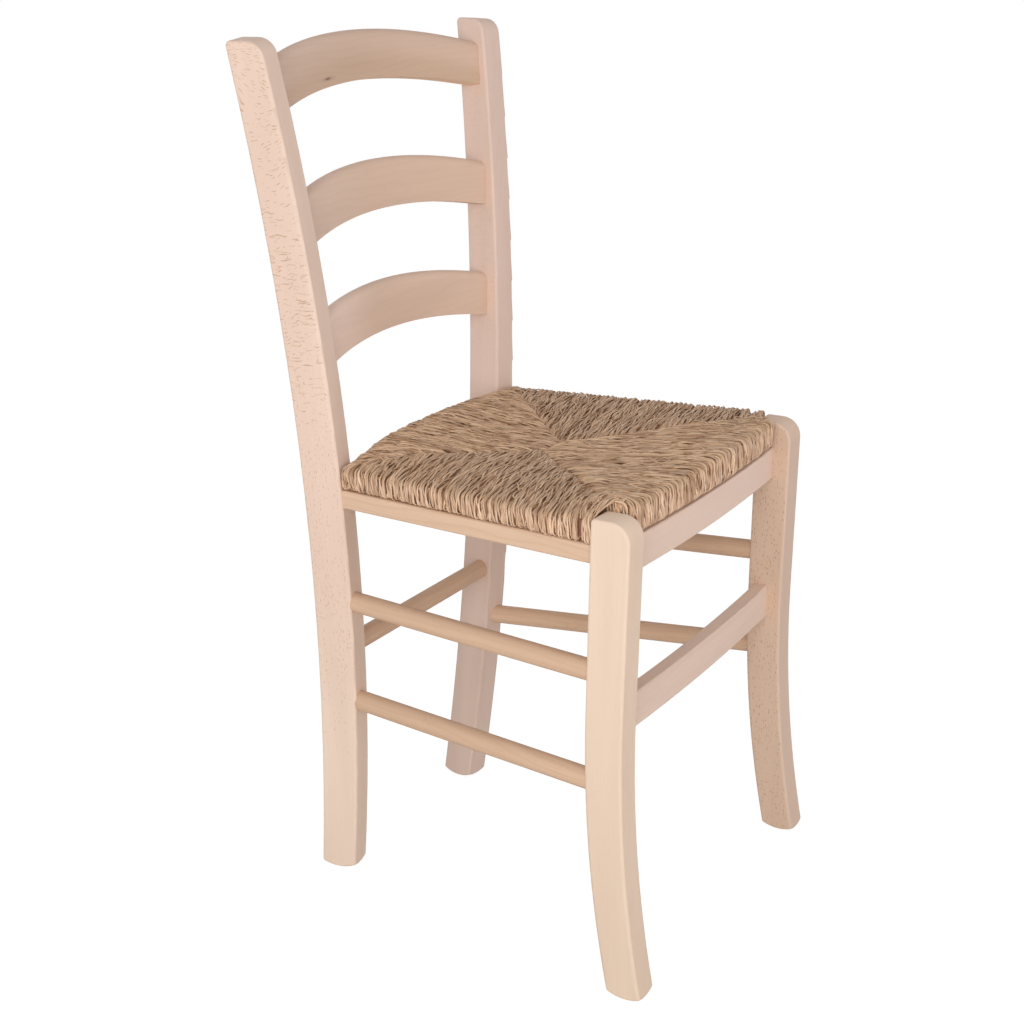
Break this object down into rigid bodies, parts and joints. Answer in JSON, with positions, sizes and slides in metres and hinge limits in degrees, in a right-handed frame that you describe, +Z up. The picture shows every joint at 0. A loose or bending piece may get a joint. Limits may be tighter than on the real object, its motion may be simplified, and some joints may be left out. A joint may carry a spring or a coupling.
{
  "type": "rush seat chair",
  "caption": "Wooden side chair with a woven rush drop-in seat, curved splayed back posts, arched back slats and round stretchers, for sitting at a table.",
  "frame": {"origin": "on the floor, under the middle of the chair's box", "axes": "+Z up, the front of the chair faces -Y, +X to the right of someone looking at the back from the front"},
  "size_m": [0.4386, 0.4585, 0.8822],
  "materials": {
    "beech": "raw sanded beech, fine grain and ray flecks",
    "dowel_beech": "raw turned beech, a little yellower",
    "seat_frame_wood": "rough sawn beech",
    "rush": "twisted dry rush cord, dull with pale highlights",
    "screw_steel": "plain zinc steel"
  },
  "bodies": {
    "root": {"back_post_left": "beech", "back_post_right": "beech", "front_leg_left": "beech", "front_leg_right": "beech", "top_slat": "beech", "middle_slat": "beech", "lower_slat": "beech", "front_apron": "beech", "front_stretcher": "beech", "side_rail_left": "beech", "side_rail_right": "beech", "rear_rail": "beech", "side_stretcher_upper_left": "dowel_beech", "side_stretcher_upper_right": "dowel_beech", "side_stretcher_lower_left": "dowel_beech", "side_stretcher_lower_right": "dowel_beech", "rear_stretcher": "dowel_beech", "seat_frame_front": "seat_frame_wood", "seat_frame_rear": "seat_frame_wood", "seat_frame_side_left": "seat_frame_wood", "seat_frame_side_right": "seat_frame_wood", "rush_weave": "rush", "seat_screws": "screw_steel"}
  },
  "joints": []
}
